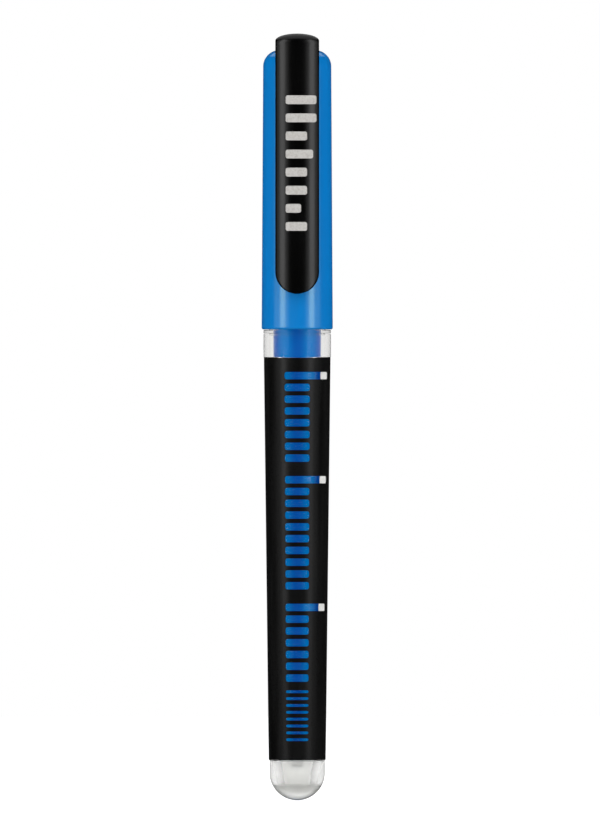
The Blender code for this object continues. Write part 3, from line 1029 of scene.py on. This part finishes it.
# %% Nib
nib_radius, nib_root, nose_mouth = 1.25, low("brush_nib_root"), top("brush_nib_root")
nib_tip, nib_swell, point_radius = top("brush_nib_tip"), 0.08, 0.12
nib_outline = [(0, nib_root), (nib_radius - 0.15, nib_root), (nib_radius, nib_root + 0.2)]
nib_outline += [(nib_radius, nose_mouth - 2 + 0.25 * i) for i in range(9)]
taper_start = nose_mouth + 1.3
nib_outline.append((nib_radius + nib_swell, taper_start))
for i in range(1, 33):
    share = i / 32
    z = taper_start + (nib_tip - point_radius - taper_start) * share
    nib_outline.append((point_radius + (nib_radius + nib_swell - point_radius) * (1 - share**1.35), z))
for i in range(1, 5):
    t = math.pi / 2 * i / 5
    nib_outline.append((point_radius * math.cos(t), nib_tip - point_radius + point_radius * math.sin(t)))
nib_outline.append((0, nib_tip))
nib = turned("nib", nib_outline, nib_fibre, 64)
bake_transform(nib)
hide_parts("brush_nib_root", "brush_nib_tip")
print("nib:", len(nib.data.polygons), "faces, bends at the nose")

# %% [markdown]
# ## Floor, light and camera
#
# The pen stands on its tail over a white board. Glossy plastic only looks glossy when it mirrors
# something, so two tall soft boxes stand at either side of the camera, each a broad dim panel with a
# narrow bright one in front of it. A third lies high up behind the pen and lightens the cap's
# shoulder.
#
# A white room all round would turn black plastic grey. So the board and the sky look at what kind of
# ray has come: they are white to the eye and through clear plastic, dim to soft reflections, and
# nearly black to mirroring ones. Only the soft boxes then show in the gloss.

# %% Floor
bpy.ops.mesh.primitive_circle_add(vertices=96, radius=1.2, fill_type="NGON", location=(0, 0, -0.05 * MM))
floor = bpy.context.object
floor.name = "floor"
board, board_tree, board_place = new_material("painted_board_white")
brushing = {"Value": grain(board_tree, board_place, 4.0), **MIDDLE}
brushed = {0: add(board_tree, "MapRange", brushing), 6: "#F4F4F3", 7: "#EFEFEE"}
painted = add(
    board_tree,
    "BsdfPrincipled",
    {
        "Base Color": add(board_tree, "Mix", brushed, data_type="RGBA"),
        "Roughness": add(board_tree, "MapRange", {**brushing, "To Min": 0.75, "To Max": 0.85}),
        "Specular IOR Level": 0.1,
    },
)
glow = add(board_tree, "Emission", {"Strength": 0.72})
bright = add(board_tree, "AddShader", {0: painted, 1: glow})
dark = add(board_tree, "BsdfDiffuse", {"Color": "#101010"})
ray = add(board_tree, "LightPath", {}).outputs
to_eye = add(board_tree, "MixShader", {0: ray["Is Diffuse Ray"], 1: bright, 2: painted})
mirror_ray = add(board_tree, "Math", {0: ray["Glossy Depth"], 1: 1.0}, operation="MINIMUM")
darkness = {0: ray["Is Transmission Ray"], 2: mirror_ray, 3: 0.15}
dimmed = {0: add(board_tree, "Mix", darkness, data_type="FLOAT"), 1: to_eye, 2: dark}
add(board_tree, "OutputMaterial", {"Surface": add(board_tree, "MixShader", dimmed)})
floor.data.materials.append(board)
print("made", board.name)

# %% Sky
gloss_sky, inner_sky, ambient_sky = 0.01, 1.0, 0.3
world = bpy.data.worlds.new("studio")
world.use_nodes = True
bpy.context.scene.world = world
sky = world.node_tree
sky.nodes.clear()
ray = add(sky, "LightPath", {}).outputs
mirror_ray = add(sky, "Math", {0: ray["Glossy Depth"], 1: 1.0}, operation="MINIMUM")
soft_ray = add(sky, "Math", {0: ray["Diffuse Depth"], 1: 1.0}, operation="MINIMUM")
mirrored = {0: ray["Is Transmission Ray"], 2: gloss_sky, 3: inner_sky}
direct = {0: mirror_ray, 2: 1.0, 3: add(sky, "Mix", mirrored, data_type="FLOAT")}
strength = {0: soft_ray, 2: add(sky, "Mix", direct, data_type="FLOAT"), 3: ambient_sky}
backdrop = {"Color": "#FFFFFF", "Strength": add(sky, "Mix", strength, data_type="FLOAT")}
add(sky, "OutputWorld", {"Surface": add(sky, "Background", backdrop)})
print("sky strength to mirrors", gloss_sky, "through plastic", inner_sky, "to soft light", ambient_sky)


# %% Soft boxes
pen_middle = 70.0


def soft_box(name, turn, distance, width, height, power, lift=pen_middle):
    """A tall area light at a turn from the pen's front, aimed at the pen's middle. Sizes in mm."""
    lamp = bpy.data.lights.new(name, "AREA")
    lamp.shape, lamp.size, lamp.size_y, lamp.energy = "RECTANGLE", width * MM, height * MM, power
    obj = bpy.data.objects.new(name, lamp)
    bpy.context.scene.collection.objects.link(obj)
    a = math.radians(turn)
    obj.location = Vector((math.sin(a) * distance, -math.cos(a) * distance, lift)) * MM
    aim = Vector((0, 0, pen_middle * MM)) - obj.location
    obj.rotation_euler = aim.to_track_quat("-Z", "Y").to_euler()
    obj.visible_camera = False
    return obj


for side, turn in (("left", -1), ("right", 1)):
    soft_box(f"panel_{side}", 54 * turn, 620, 600, 1500, 2.3)
    soft_box(f"strip_{side}", 48 * turn, 600, 190, 1500, 2.8)
soft_box("overhead", 180, 200, 1200, 1200, 4.5, 800.0)
print("lights:", [light.name for light in bpy.data.lights])

# %% Camera
lens, sensor = 1000.0, 36.0
frame_height, view_middle, view_side = 153.5, 69.5, 0.51
camera = bpy.data.objects.new("camera", bpy.data.cameras.new("camera"))
bpy.context.scene.collection.objects.link(camera)
camera.data.lens, camera.data.sensor_width = lens, sensor
distance = frame_height / sensor * lens
camera.location = Vector((view_side, -distance, view_middle)) * MM
camera.rotation_euler = (math.pi / 2, 0, 0)
camera.data.clip_start, camera.data.clip_end = 0.1, 20.0
bpy.context.scene.camera = camera
bpy.context.scene.view_settings.view_transform = "Standard"
print(f"camera {distance:.0f} mm away, {lens:.0f} mm lens")
